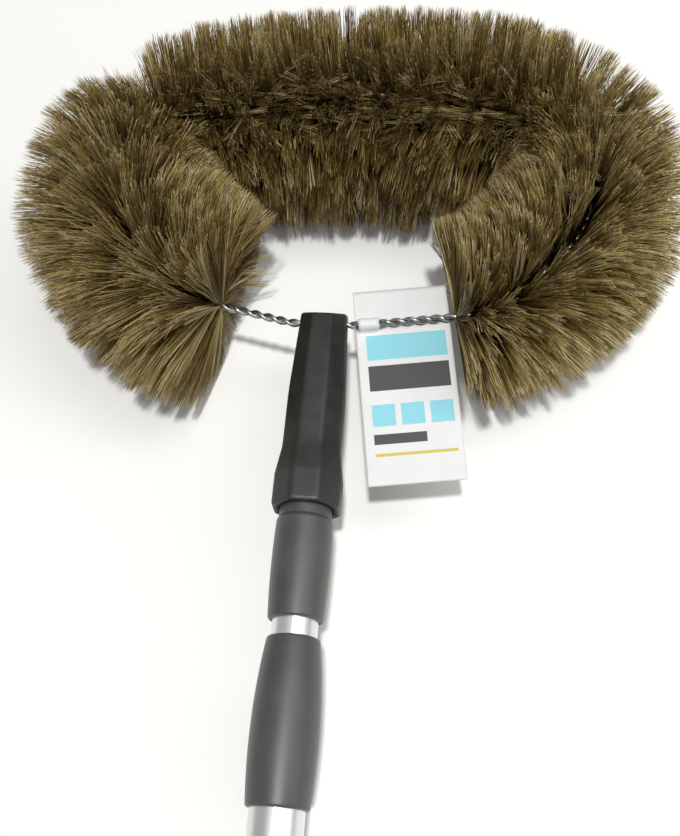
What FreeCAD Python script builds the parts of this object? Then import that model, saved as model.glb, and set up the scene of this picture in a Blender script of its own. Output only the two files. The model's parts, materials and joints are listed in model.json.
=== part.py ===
import FreeCAD, Part
import math
import os
from FreeCAD import Placement, Rotation, Vector

# Cobweb brush: an oval of twisted wire filled with fibre, in a moulded socket that pushes onto a
# two-stage telescopic pole. Millimetres and degrees. Every piece is built with the pole along Y
# from the outer tube's butt, and the wire loop in the XY plane. The whole brush is then laid
# down on its fibres and its butt, which tips the pole up a little towards the head.

# Fits, all radial
press_gap = 0.05  # pieces pressed or glued together
running_gap = 0.1  # inner tube in its guide bush, socket on its spigot
loose_gap = 0.4  # pieces that pass each other without touching
end_play = 0.2  # along the pole, where one piece turns between two others

# Tubes
outer_tube_od = 23.0
inner_tube_od = 20.0
tube_wall = 0.8
outer_tube_length = 650.0
inner_tube_length = 640.0
shown_inner_tube = 7.6

# Lower grip, on the outer tube
lower_grip_length = 69.0
lower_grip_top_d = 23.0
lower_grip_belly_d = 29.0
lower_grip_foot_d = 26.4
lower_grip_belly_at = 42.0
lower_grip_overhang = 14.0

# Upper grip, on the inner tube
upper_grip_length = 45.0
upper_grip_top_d = 25.2
upper_grip_belly_d = 26.0
upper_grip_foot_d = 24.2
upper_grip_belly_at = 19.0

# Guide bush in the mouth of the outer tube
bush_length = 25.0
bush_flange = 2.0

# End cap with its hanging eye
cap_plug_length = 20.0
cap_collar_length = 6.0
cap_step = 0.4
eye_thickness = 9.0
eye_width = 20.0
eye_hole_d = 8.0
eye_reach = 8.0

# Twist lock at the lower end of the inner tube
lock_plug_length = 25.0
lock_flange = 4.0
journal_d = 10.0
journal_offset = 0.5
cam_length = 14.0
lock_disc_thickness = 2.5
butt_gap = 5.0  # least room between the lock and the end cap
screw_d = 4.0
screw_length = 14.0
screw_head_d = 8.0
screw_head = 2.6

# Tip of the inner tube, with the spigot that the head pushes onto
tip_plug_length = 30.0
neck_d = 23.6
neck_length = 8.0
neck_shown = 5.0
neck_bevel = 0.8
spigot_length = 48.0
spigot_base_d = 18.2
spigot_end_d = 16.6

# Socket of the head, an octagon that flares to a collar, with its top cut at a slant
socket_length = 101.0
socket_top_across = 22.0
socket_middle_across = 26.2
socket_middle_at = 42.0
socket_waist_across = 26.4
socket_waist_at = 72.0
collar_across = 30.6
collar_length = 15.0
socket_bevel = 1.2
top_slant = 27.0
top_edge_bevel = 0.7
plug_chamber_d = 13.0
chamber_step = 4.0
wire_below_top = 6.0

# Twisted wire
wire_d = 2.0
strand_gap = 0.12
twist_pitch = 12.8
wire_channel_gap = 0.3
strand_end_gap = 3.0

# Wire loop, from the socket's right side round to its left
left_bare = 51.2
right_bare = 62.9
straight_past_socket = 2.0
rise_radius = 25.0
left_rise = 12.5
right_rise = 8.2
first_bend_radius = 60.0
left_slope = 45.0
right_slope = 50.0
left_diagonal = 16.0
right_diagonal = 22.5
left_side_radius = 58.0
right_side_radius = 60.0
left_corner_radius = 46.0
right_corner_radius = 40.0
corner_bend = 72.0

# Fibre, to the mean of its trimmed tips
fibre_reach = 52.0
fibre_pressed = 2.0

# Tag that hangs on the right-hand bare wire
tag_width = 45.5
tag_above = 19.0
tag_below = 81.0
tag_thickness = 0.7
tag_from_socket = 4.0
tag_slope = 3.0
strap_inset = 1.5
strap_width = 10.0
tag_wire_gap = 0.35

# Sizes that follow from these
outer_tube_r = outer_tube_od / 2
outer_bore_r = outer_tube_r - tube_wall
inner_tube_r = inner_tube_od / 2
inner_bore_r = inner_tube_r - tube_wall
lock_r = outer_bore_r - loose_gap
cam_bore_r = journal_d / 2 + loose_gap
helix_r = (wire_d + strand_gap) / 2
wire_r = helix_r + wire_d / 2
channel_r = wire_r + wire_channel_gap

lower_grip_top = outer_tube_length + lower_grip_overhang
lock_length = lock_flange + cam_length + 2 * end_play + lock_disc_thickness + screw_head
foot_by_grips = lower_grip_top + shown_inner_tube + upper_grip_length - inner_tube_length
foot_by_cap = cap_plug_length + butt_gap + lock_length
inner_tube_foot = max(foot_by_grips, foot_by_cap)
neck_foot = inner_tube_foot + inner_tube_length
upper_grip_foot = neck_foot - upper_grip_length
journal_top = inner_tube_foot - lock_flange
disc_top = journal_top - cam_length - 2 * end_play
disc_foot = disc_top - lock_disc_thickness
neck_top = neck_foot + neck_length
spigot_top = neck_top + spigot_length
socket_mouth = neck_foot + neck_shown
socket_top = socket_mouth + socket_length
wire_y = socket_top - wire_below_top
straight_in_socket = socket_top_across / 2 + straight_past_socket
right_half = (
    right_bare,
    right_rise,
    right_slope,
    right_diagonal,
    right_side_radius,
    right_corner_radius,
)
left_half = (
    left_bare,
    left_rise,
    left_slope,
    left_diagonal,
    left_side_radius,
    left_corner_radius,
)
eye_y = -cap_collar_length - eye_reach


def spun(points):
    """Solid of revolution about the pole, from (radius, y) corners."""
    corners = [Vector(r, y, 0) for r, y in points]
    face = Part.Face(Part.makePolygon(corners + corners[:1]))
    return face.revolve(Vector(), Vector(0, 1, 0), 360)


def rod(radius, foot, top, x=0.0):
    """Plain cylinder along the pole, x to the side of it."""
    return Part.makeCylinder(radius, top - foot, Vector(x, foot, 0), Vector(0, 1, 0))


def barrel(top, length, top_d, belly_d, foot_d, belly_at):
    """Solid grip body: one arc through the top, belly and foot radii, spun round the pole."""
    head = Vector(top_d / 2, top, 0)
    belly = Vector(belly_d / 2, top - belly_at, 0)
    foot = Vector(foot_d / 2, top - length, 0)
    side = Part.Arc(head, belly, foot).toShape()
    axis_top = Vector(0, top, 0)
    axis_foot = Vector(0, top - length, 0)
    outline = [
        side,
        Part.makeLine(foot, axis_foot),
        Part.makeLine(axis_foot, axis_top),
        Part.makeLine(axis_top, head),
    ]
    return Part.Face(Part.Wire(outline)).revolve(Vector(), Vector(0, 1, 0), 360)


def octagon(y, across):
    """Regular octagon square to the pole, with flats to the front and sides."""
    radius = across / 2 / math.cos(math.pi / 8)
    turns = [math.pi / 8 + k * math.pi / 4 for k in range(8)]
    corners = [Vector(radius * math.cos(a), y, radius * math.sin(a)) for a in turns]
    return Part.makePolygon(corners + corners[:1])


def make_outer_tube():
    tube = rod(outer_tube_r, 0, outer_tube_length)
    return tube.cut(rod(outer_bore_r, 0, outer_tube_length))


def make_inner_tube():
    tube = rod(inner_tube_r, inner_tube_foot, neck_foot)
    return tube.cut(rod(inner_bore_r, inner_tube_foot, neck_foot))


def make_guide_bush():
    """Thin sleeve inside the outer tube's mouth, with a flange on the tube's end."""
    sleeve = rod(outer_bore_r - press_gap, outer_tube_length - bush_length, outer_tube_length)
    flange = rod(outer_tube_r, outer_tube_length, outer_tube_length + bush_flange)
    bore = rod(
        inner_tube_r + running_gap,
        outer_tube_length - bush_length,
        outer_tube_length + bush_flange,
    )
    return sleeve.fuse(flange).cut(bore)


def make_lower_grip():
    """Soft barrel over the outer tube's end, closing in to the inner tube above the bush."""
    body = barrel(
        lower_grip_top,
        lower_grip_length,
        lower_grip_top_d,
        lower_grip_belly_d,
        lower_grip_foot_d,
        lower_grip_belly_at,
    )
    tube_hole = rod(
        outer_tube_r + press_gap,
        lower_grip_top - lower_grip_length,
        outer_tube_length + bush_flange,
    )
    lip_hole = rod(inner_tube_r + loose_gap, outer_tube_length, lower_grip_top)
    return body.cut(tube_hole).cut(lip_hole)


def make_upper_grip():
    """Soft barrel glued on the inner tube, up against the neck of the tip."""
    body = barrel(
        neck_foot,
        upper_grip_length,
        upper_grip_top_d,
        upper_grip_belly_d,
        upper_grip_foot_d,
        upper_grip_belly_at,
    )
    return body.cut(rod(inner_tube_r + press_gap, upper_grip_foot, neck_foot))


def make_end_cap():
    """Plug and collar in the butt of the outer tube, with a round-ended hanging eye."""
    plug = rod(outer_bore_r - press_gap, 0, cap_plug_length)
    collar = rod(outer_tube_r - cap_step, -cap_collar_length, 0)
    side = Vector(1, 0, 0)
    eye = Part.makeCylinder(
        eye_width / 2, eye_thickness, Vector(-eye_thickness / 2, eye_y, 0), side
    )
    web = Part.makeBox(
        eye_thickness,
        eye_reach + cap_collar_length / 2,
        eye_width,
        Vector(-eye_thickness / 2, eye_y, -eye_width / 2),
    )
    hole = Part.makeCylinder(
        eye_hole_d / 2, eye_thickness, Vector(-eye_thickness / 2, eye_y, 0), side
    )
    return collar.multiFuse([plug, eye, web]).removeSplitter().cut(hole)


def make_lock_plug():
    """Plug pressed into the inner tube, with a flange and an off-centre journal for the cam."""
    plug = rod(inner_bore_r - press_gap, inner_tube_foot, inner_tube_foot + lock_plug_length)
    flange = rod(lock_r, journal_top, inner_tube_foot)
    journal = rod(journal_d / 2, disc_top, journal_top, journal_offset)
    pilot = rod(screw_d / 2 + press_gap, disc_top, disc_foot + screw_length, journal_offset)
    return flange.multiFuse([plug, journal]).removeSplitter().cut(pilot)


def make_lock_cam():
    """Cam ring round the journal. Twisting the inner tube wedges it against the outer tube."""
    foot = disc_top + end_play
    ring = rod(lock_r, foot, foot + cam_length)
    return ring.cut(rod(cam_bore_r, foot, foot + cam_length, journal_offset))


def make_lock_disc():
    """Disc that keeps the cam ring on its journal."""
    disc = rod(lock_r, disc_foot, disc_top)
    return disc.cut(rod(screw_d / 2 + press_gap, disc_foot, disc_top, journal_offset))


def make_lock_screw():
    """Pan-head screw through the disc into the journal."""
    shank = rod(screw_d / 2, disc_foot, disc_foot + screw_length, journal_offset)
    head = rod(screw_head_d / 2, disc_foot - screw_head, disc_foot, journal_offset)
    return shank.fuse(head).removeSplitter()


def make_pole_tip():
    """Moulded tip: plug in the inner tube, neck ring under the socket, tapered spigot inside it."""
    neck_r = neck_d / 2
    return spun(
        [
            (0, neck_foot - tip_plug_length),
            (inner_bore_r - press_gap, neck_foot - tip_plug_length),
            (inner_bore_r - press_gap, neck_foot),
            (neck_r - neck_bevel, neck_foot),
            (neck_r, neck_foot + neck_bevel),
            (neck_r, neck_top - neck_bevel),
            (neck_r - neck_bevel, neck_top),
            (spigot_base_d / 2, neck_top),
            (spigot_end_d / 2, spigot_top),
            (0, spigot_top),
        ]
    )


def wire_run():
    """Straight channel across the socket for the twisted wire."""
    start = Vector(-collar_across / 2, wire_y, 0)
    return Part.makeCylinder(channel_r, collar_across, start, Vector(1, 0, 0))


def socket_body():
    """Tapered octagon with a flared collar, cut off at a slant that is lower in front, with a bevel
    round the cut."""
    slant = math.tan(math.radians(top_slant))
    spare = slant * socket_top_across
    taper = (socket_middle_across - socket_top_across) / socket_middle_at
    body = Part.makeLoft(
        [
            octagon(socket_mouth, collar_across - socket_bevel),
            octagon(socket_mouth + socket_bevel, collar_across),
            octagon(socket_mouth + collar_length, collar_across),
            octagon(socket_top - socket_waist_at, socket_waist_across),
            octagon(socket_top - socket_middle_at, socket_middle_across),
            octagon(socket_top + spare, socket_top_across - taper * spare),
        ],
        True,
        True,
    )
    room = 2 * socket_top_across
    cut = Part.makeBox(2 * room, room, 2 * room, Vector(-room, 0, -room))
    cut.rotate(Vector(), Vector(1, 0, 0), top_slant)
    cut.translate(Vector(0, socket_top, 0))
    body = body.cut(cut)
    rim = [
        edge
        for edge in body.Edges
        if all(abs(v.Y + slant * v.Z - socket_top) < 0.001 for v in edge.Vertexes)
    ]
    return body.makeChamfer(top_edge_bevel, rim)


def make_socket():
    """Octagonal body. The spigot's taper, the wire plug's chamber and the neck's recess open
    downwards, and the wire channel runs across near the top."""
    taper_top = spigot_top + loose_gap
    chamber_r = plug_chamber_d / 2
    inside = spun(
        [
            (0, socket_mouth),
            (neck_d / 2 + loose_gap, socket_mouth),
            (neck_d / 2 + loose_gap, neck_top + end_play),
            (spigot_base_d / 2 + running_gap, neck_top + end_play),
            (spigot_end_d / 2 + running_gap, taper_top),
            (chamber_r, taper_top + chamber_step),
            (chamber_r, wire_y),
            (0, wire_y),
        ]
    )
    return socket_body().cut(inside).cut(wire_run())


def make_wire_plug():
    """Plug pressed up the socket's chamber. Its grooved end traps the two ends of the wire."""
    foot = spigot_top + loose_gap + chamber_step
    return rod(plug_chamber_d / 2 - press_gap, foot, wire_y).cut(wire_run())


def advance(point, heading, length, turn):
    """Point and heading at the end of a run of this length that turns evenly to the left."""
    if turn == 0:
        step = Vector(math.cos(heading), math.sin(heading), 0) * length
        return point + step, heading
    radius = length / turn
    end = heading + turn
    across = math.sin(end) - math.sin(heading)
    along = math.cos(heading) - math.cos(end)
    return point + Vector(across, along, 0) * radius, end


def bend(radius, degrees):
    """Run round a bend, as (length, turn)."""
    return radius * math.radians(degrees), math.radians(degrees)


def bare_runs(half):
    """Runs of one bare end, from the socket's middle to the fibre: straight out, then rising."""
    bare, rise = half[:2]
    length, turn = bend(rise_radius, rise)
    return [(straight_in_socket, 0), (length, turn), (bare - straight_in_socket - length, 0)]


def flank_runs(half):
    """Runs from the fibre's end up to where the wire is furthest from the pole, heading along it."""
    bare, rise, slope, diagonal, side_radius, corner_radius = half
    return [bend(first_bend_radius, slope - rise), (diagonal, 0), bend(side_radius, 90 - slope)]


def corner_run(half):
    """Bend of one top corner."""
    return bend(half[-1], corner_bend)


def end_of(runs):
    """Point and heading at the end of runs that start in the socket's middle."""
    point, heading = Vector(0, wire_y, 0), 0.0
    for length, turn in runs:
        point, heading = advance(point, heading, length, turn)
    return point, heading


def half_runs(half):
    """Runs of one half, from the socket's middle to the end of its top corner."""
    return bare_runs(half) + flank_runs(half) + [corner_run(half)]


def crown_radii():
    """Radii of the crown's right and left arcs, which bring the two halves together level."""
    right, heading = end_of(half_runs(right_half))
    left, heading = end_of(half_runs(left_half))
    turn = math.pi - heading
    both = (right.x + left.x) / math.sin(turn)
    uneven = (left.y - right.y) / (1 - math.cos(turn))
    return (both + uneven) / 2, (both - uneven) / 2


def loop_runs():
    """Runs of the wire from the right-hand fibre end to the left-hand one."""
    half_crown = 90 - corner_bend
    right_crown, left_crown = crown_radii()
    right = flank_runs(right_half) + [corner_run(right_half), bend(right_crown, half_crown)]
    left = flank_runs(left_half) + [corner_run(left_half), bend(left_crown, half_crown)]
    return right + left[::-1]


def wire_runs():
    """Runs of the whole wire, with its two bare ends inside the socket."""
    right, left = bare_runs(right_half), bare_runs(left_half)
    in_socket = (straight_in_socket - strand_end_gap / 2, 0)
    return [in_socket] + right[1:] + loop_runs() + left[:0:-1] + [in_socket]


def crown_y():
    """How far up the brush the wire's line comes at the top of the crown."""
    rise = bend(crown_radii()[0], 90 - corner_bend)
    return end_of(half_runs(right_half) + [rise])[0].y


def loop_middle():
    """How far to the right of the pole the middle of the loop's width lies."""
    right, heading = end_of(bare_runs(right_half) + flank_runs(right_half))
    left, heading = end_of(bare_runs(left_half) + flank_runs(left_half))
    return (right.x - left.x) / 2


def helix_point(along, phase, runs):
    """Point and direction of one strand at this length along the wire's own line."""
    turning = 2 * math.pi / twist_pitch
    point, heading = Vector(strand_end_gap / 2, wire_y, 0), 0.0
    left = along
    for length, turn in runs:
        curve = turn / length
        part = min(left, length)
        point, heading = advance(point, heading, part, curve * part)
        left -= part
        if left <= 0:
            break
    forward = Vector(math.cos(heading), math.sin(heading), 0)
    inward = Vector(-math.sin(heading), math.cos(heading), 0)
    up = Vector(0, 0, 1)
    angle = turning * along + phase
    out = inward * math.cos(angle) + up * math.sin(angle)
    round_wire = up * math.cos(angle) - inward * math.sin(angle)
    way = forward * (1 - curve * helix_r * math.cos(angle)) + round_wire * (helix_r * turning)
    return point + out * helix_r, way.normalize()


def tangent_arc(start, way, end):
    """Arc from start to end that leaves along way, and the direction in which it arrives."""
    chord = (end - start).normalize()
    bulge = way - chord * way.dot(chord)
    half_turn = math.atan2(bulge.Length, way.dot(chord))
    rise = (end - start).Length / 2 * math.tan(half_turn / 2)
    middle = (start + end) * 0.5 + bulge.normalize() * rise
    return Part.Arc(start, middle, end).toShape(), chord * (2 * way.dot(chord)) - way


def biarc(start, way_out, end, way_in):
    """Two arcs that meet smoothly and join two points with given directions."""
    span = end - start
    spread = 2 * (1 - way_out.dot(way_in))
    pull = span.dot(way_out + way_in)
    reach = (math.sqrt(pull * pull + spread * span.dot(span)) - pull) / spread
    meet = (start + end + (way_out - way_in) * reach) * 0.5
    first, way = tangent_arc(start, way_out, meet)
    second, way = tangent_arc(meet, way, end)
    return [first, second]


def strand_points(phase):
    """Four points to each turn of one strand, with their directions."""
    runs = wire_runs()
    total = sum(length for length, turn in runs)
    count = round(4 * total / twist_pitch)
    return [helix_point(total * k / count, phase, runs) for k in range(count + 1)]


def make_strand(phase):
    """One strand, a round wire wound along the loop as an unbroken tube."""
    points = strand_points(phase)
    edges = []
    for (start, way_out), (end, way_in) in zip(points, points[1:]):
        edges += biarc(start, way_out, end, way_in)
    start, way = points[0]
    section = Part.Wire([Part.Circle(start, way, wire_d / 2).toShape()])
    return Part.Wire(edges).makePipeShell([section], True, False)


def strand_self_gap():
    """Least gap between points of one strand that are a turn or more apart."""
    points = [point for point, way in strand_points(0)]
    apart = [
        (first - second).Length
        for k, first in enumerate(points)
        for second in points[k + 4 :]
    ]
    return min(apart) - wire_d


def fibre_section(point, heading, turn, radius):
    """Disc of fibre square to the wire. In a bend tighter than the fibre is long, it ends at the
    bend's own axis."""
    forward = Vector(math.cos(heading), math.sin(heading), 0)
    if turn == 0 or radius >= fibre_reach:
        return Part.Face(Part.Wire([Part.Circle(point, forward, fibre_reach).toShape()]))
    inward = Vector(-math.sin(heading), math.cos(heading), 0)
    centre = point + inward * radius
    half_height = Vector(0, 0, math.sqrt(fibre_reach**2 - radius**2))
    low, high = centre - half_height, centre + half_height
    outer = Part.Arc(low, point - inward * fibre_reach, high).toShape()
    return Part.Face(Part.Wire([outer, Part.makeLine(high, low)]))


def make_fibre():
    """Fibre all round the wire: one solid for each run, joined, with the wire's channel out of it
    and its underside pressed flat by the floor."""
    up = Vector(0, 0, 1)
    stretches, edges = [], []
    point, heading = end_of(bare_runs(right_half))
    start, way = point, Vector(math.cos(heading), math.sin(heading), 0)
    for length, turn in loop_runs():
        end, end_heading = advance(point, heading, length, turn)
        if turn == 0:
            section = fibre_section(point, heading, turn, 0)
            stretches.append(section.extrude(end - point))
            edges.append(Part.makeLine(point, end))
        else:
            radius = length / turn
            centre = point + Vector(-math.sin(heading), math.cos(heading), 0) * radius
            section = fibre_section(point, heading, turn, radius)
            stretches.append(section.revolve(centre, up, math.degrees(turn)))
            middle, _ = advance(point, heading, length / 2, turn / 2)
            edges.append(Part.Arc(point, middle, end).toShape())
        point, heading = end, end_heading
    ring = Part.Wire([Part.Circle(start, way, channel_r).toShape()])
    channel = Part.Wire(edges).makePipeShell([ring], True, False)
    fibre = stretches[0].multiFuse(stretches[1:]).removeSplitter().cut(channel)
    reach = far_y - near_y
    floor = Part.makeBox(2 * reach, 2 * reach, fibre_reach, Vector(-reach, -reach, -fibre_reach))
    return fibre.cut(floor.transformed(laid_down.inverse().toMatrix()))


def make_tag():
    """Card threaded on the wire: a strap cut out of it arches over the wire, and the rest hangs
    behind the wire, sloping a little away from it."""
    front = wire_r + tag_wire_gap
    back = front + tag_thickness
    card = Part.makeBox(
        tag_width, tag_above + tag_below, tag_thickness, Vector(0, -tag_below, -back)
    )
    along = Vector(1, 0, 0)
    arch = strap_tunnel(back, back).fuse(
        Part.makeCylinder(back, strap_width, Vector(strap_inset, 0, 0), along)
    )
    tunnel = strap_tunnel(front, back).fuse(
        Part.makeCylinder(front, strap_width, Vector(strap_inset, 0, 0), along)
    )
    tag = card.fuse(arch).cut(tunnel).removeSplitter()
    tag.rotate(Vector(), along, tag_slope)
    tag.rotate(Vector(), Vector(0, 0, 1), right_rise)
    tag.translate(tag_place())
    return tag


def tag_place():
    """Point on the wire's rising stretch at the tag's left edge."""
    straight, rise, rising = bare_runs(right_half)
    point, heading = end_of([straight, rise])
    along = (socket_top_across / 2 + tag_from_socket - point.x) / math.cos(heading)
    return advance(point, heading, along, 0)[0]


def strap_tunnel(half_width, depth):
    """Block under the strap's arch, from the wire's middle back through the card."""
    return Part.makeBox(
        strap_width, 2 * half_width, depth, Vector(strap_inset, -half_width, -depth)
    )


# The brush lies on the outer tube's rim and on the underside of the fibre by the socket. The tip
# angle brings both to the floor.
rest_height = fibre_reach - fibre_pressed
pole_tilt = math.asin(rest_height / math.hypot(wire_y, outer_tube_r))
pole_tilt -= math.atan2(outer_tube_r, wire_y)
butt_height = outer_tube_r * math.cos(pole_tilt)

# The middle of the floor that the brush covers is the origin
far_y = crown_y() * math.cos(pole_tilt) + fibre_reach
near_y = eye_y * math.cos(pole_tilt) - eye_width / 2
laid_down = Placement(
    Vector(-loop_middle(), -(far_y + near_y) / 2, butt_height),
    Rotation(Vector(1, 0, 0), math.degrees(pole_tilt)),
)

pieces = {
    "outer_tube": make_outer_tube(),
    "guide_bush": make_guide_bush(),
    "lower_grip": make_lower_grip(),
    "end_cap": make_end_cap(),
    "lock_cam": make_lock_cam(),
    "inner_tube": make_inner_tube(),
    "lock_plug": make_lock_plug(),
    "lock_disc": make_lock_disc(),
    "lock_screw": make_lock_screw(),
    "upper_grip": make_upper_grip(),
    "pole_tip": make_pole_tip(),
    "socket": make_socket(),
    "wire_plug": make_wire_plug(),
    "wire_strand_a": make_strand(0),
    "wire_strand_b": make_strand(math.pi),
    "fibre": make_fibre(),
    "tag": make_tag(),
}

os.makedirs("parts", exist_ok=True)
for name, piece in pieces.items():
    piece.transformed(laid_down.toMatrix()).exportStep(f"parts/{name}.step")
print("least gap of a strand to itself", round(strand_self_gap(), 2))
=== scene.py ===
import bmesh
import bpy
import json
import math
import numpy as np
from mathutils import Matrix, Vector


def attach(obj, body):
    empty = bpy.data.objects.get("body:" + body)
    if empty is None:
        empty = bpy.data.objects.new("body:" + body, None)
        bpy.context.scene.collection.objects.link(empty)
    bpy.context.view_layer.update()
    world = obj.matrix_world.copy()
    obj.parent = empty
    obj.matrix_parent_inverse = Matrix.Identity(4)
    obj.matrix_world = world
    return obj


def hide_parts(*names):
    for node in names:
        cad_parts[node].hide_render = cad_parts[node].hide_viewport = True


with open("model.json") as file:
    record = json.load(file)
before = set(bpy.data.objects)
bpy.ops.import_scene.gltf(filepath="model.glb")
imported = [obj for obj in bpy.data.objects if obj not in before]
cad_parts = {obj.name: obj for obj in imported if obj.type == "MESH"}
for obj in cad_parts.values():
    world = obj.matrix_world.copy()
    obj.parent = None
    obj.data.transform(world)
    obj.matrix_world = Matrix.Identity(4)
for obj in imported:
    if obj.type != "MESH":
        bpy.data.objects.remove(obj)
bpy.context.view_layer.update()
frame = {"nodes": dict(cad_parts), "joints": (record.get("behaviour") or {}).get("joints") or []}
nodes = frame["nodes"]
joints = {joint["name"]: joint for joint in frame["joints"]}

# Outer tube: 23 mm drawn aluminium, left satin from the die, so it carries fine lines along its
# length and a few duller patches. The lines follow the joint on which the pole slides.
pole_way = np.array(joints["pole_extend"]["axis"])
pole_tilt = math.asin(pole_way[2])


def add_node(tree, kind, settings=None, **inputs):
    """Shader node with its settings and inputs. An input takes a value, or a socket to link from.
    Underscores in an input's name stand for spaces, and i6 means the seventh input."""
    made = tree.nodes.new(kind)
    for name, value in (settings or {}).items():
        setattr(made, name, value)
    for name, value in inputs.items():
        numbered = name[0] == "i" and name[1:].isdigit()
        socket = made.inputs[int(name[1:]) if numbered else name.replace("_", " ")]
        if isinstance(value, bpy.types.NodeSocket):
            tree.links.new(value, socket)
        else:
            socket.default_value = value
    return made


def new_finish(name, **constants):
    """Material with one Principled shader, whose constant sockets are set here."""
    material = bpy.data.materials.new(name)
    material.use_nodes = True
    tree = material.node_tree
    shader = tree.nodes["Principled BSDF"]
    for socket, value in constants.items():
        shader.inputs[socket.replace("_", " ")].default_value = value
    return material, tree, shader


def object_coords(tree, size, turn=0.0):
    """Object coordinates in units of size, turned about X so that Y can follow the pole."""
    coords = add_node(tree, "ShaderNodeTexCoord").outputs["Object"]
    size = (size,) * 3 if isinstance(size, float) else size
    mapping = add_node(
        tree,
        "ShaderNodeMapping",
        {"vector_type": "TEXTURE"},
        Vector=coords,
        Rotation=(turn, 0, 0),
        Scale=size,
    )
    return mapping.outputs["Vector"]


def ramp(tree, factor, stops):
    """Colour ramp from (position, colour) stops."""
    made = add_node(tree, "ShaderNodeValToRGB", Fac=factor)
    points = made.color_ramp.elements
    while len(points) < len(stops):
        points.new(0.5)
    for point, (position, colour) in zip(points, stops):
        point.position = position
        point.color = (*colour, 1)
    return made.outputs["Color"]


def between(tree, factor, low, high):
    """Value that runs from low to high as factor goes from 0 to 1."""
    made = add_node(tree, "ShaderNodeMapRange", Value=factor, To_Min=low, To_Max=high)
    return made.outputs["Result"]


def dress(node, material):
    """Gives a CAD node's object this material alone."""
    mesh = nodes[node].data
    mesh.materials.clear()
    mesh.materials.append(material)


def make_aluminium():
    """Satin aluminium: drawn lines 0.4 mm apart and 120 mm long, over broad dull patches."""
    material, tree, shader = new_finish("drawn_aluminium", Metallic=1.0)
    lines = add_node(
        tree,
        "ShaderNodeTexNoise",
        Vector=object_coords(tree, (0.0004, 0.12, 0.0004), pole_tilt),
        Scale=1.0,
        Detail=3.0,
    ).outputs["Fac"]
    patches = add_node(
        tree,
        "ShaderNodeTexNoise",
        Vector=object_coords(tree, (0.012, 0.05, 0.012), pole_tilt),
        Scale=1.0,
        Detail=4.0,
    ).outputs["Fac"]
    worn = add_node(tree, "ShaderNodeMath", {"operation": "MULTIPLY"}, i0=lines, i1=patches)
    colour = ramp(
        tree, patches, [(0.3, (0.74, 0.745, 0.75)), (0.7, (0.84, 0.84, 0.835))]
    )
    bump = add_node(tree, "ShaderNodeBump", Strength=0.12, Distance=0.0002, Height=lines)
    rough = between(tree, worn.outputs["Value"], 0.3, 0.46)
    tree.links.new(colour, shader.inputs["Base Color"])
    tree.links.new(rough, shader.inputs["Roughness"])
    tree.links.new(bump.outputs["Normal"], shader.inputs["Normal"])
    return material


aluminium = make_aluminium()
dress("outer_tube", aluminium)

# End cap: black moulded plug pressed into the butt, with an eye to hang the brush by. Its fine
# spark-eroded grain is shared by every moulding on the brush, as one node group.


def make_grain_group():
    """Moulded grain: noise of the given size as a bump, and a broader mottle for tone."""
    group = bpy.data.node_groups.new("moulded_grain", "ShaderNodeTree")
    sockets = group.interface
    for name in ("Size", "Depth"):
        sockets.new_socket(name, in_out="INPUT", socket_type="NodeSocketFloat")
    sockets.new_socket("Normal", in_out="OUTPUT", socket_type="NodeSocketVector")
    sockets.new_socket("Mottle", in_out="OUTPUT", socket_type="NodeSocketFloat")
    given = group.nodes.new("NodeGroupInput").outputs
    coords = add_node(group, "ShaderNodeTexCoord").outputs["Object"]
    spread = add_node(
        group, "ShaderNodeMath", {"operation": "DIVIDE"}, i0=1.0, i1=given["Size"]
    ).outputs["Value"]
    scaled = add_node(
        group, "ShaderNodeVectorMath", {"operation": "SCALE"}, Vector=coords, Scale=spread
    ).outputs["Vector"]
    grain = add_node(group, "ShaderNodeTexNoise", Vector=scaled, Scale=1.0, Detail=4.0)
    broad = add_node(group, "ShaderNodeTexNoise", Vector=scaled, Scale=0.05, Detail=5.0)
    bump = add_node(
        group,
        "ShaderNodeBump",
        Strength=given["Depth"],
        Distance=0.0002,
        Height=grain.outputs["Fac"],
    )
    result = group.nodes.new("NodeGroupOutput").inputs
    group.links.new(bump.outputs["Normal"], result["Normal"])
    group.links.new(broad.outputs["Fac"], result["Mottle"])
    return group


grain_group = make_grain_group()


def make_moulding(name, dark, pale, rough, grain_size, grain_depth, **constants):
    """Moulded finish: two close tones mixed by the grain's mottle, with roughness between two
    values."""
    material, tree, shader = new_finish(name, **constants)
    grain = add_node(
        tree,
        "ShaderNodeGroup",
        {"node_tree": grain_group},
        Size=grain_size,
        Depth=grain_depth,
    )
    mottle = grain.outputs["Mottle"]
    colour = ramp(tree, mottle, [(0.35, dark), (0.65, pale)])
    tree.links.new(colour, shader.inputs["Base Color"])
    tree.links.new(between(tree, mottle, *rough), shader.inputs["Roughness"])
    tree.links.new(grain.outputs["Normal"], shader.inputs["Normal"])
    return material


black_plastic = make_moulding(
    "black_plastic",
    dark=(0.016, 0.0155, 0.0145),
    pale=(0.028, 0.027, 0.0255),
    rough=(0.36, 0.48),
    grain_size=0.0005,
    grain_depth=0.35,
)
dress("end_cap", black_plastic)

# Guide bush, twist lock and pole tip: grey nylon mouldings with one zinc-plated screw, which holds
# the lock's disc. Only the tip's neck ring shows, between the upper grip and the socket.
grey_plastic = make_moulding(
    "grey_plastic",
    dark=(0.055, 0.055, 0.054),
    pale=(0.08, 0.079, 0.076),
    rough=(0.36, 0.5),
    grain_size=0.0004,
    grain_depth=0.25,
)
for node in ("guide_bush", "lock_plug", "lock_cam", "lock_disc", "pole_tip"):
    dress(node, grey_plastic)


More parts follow.
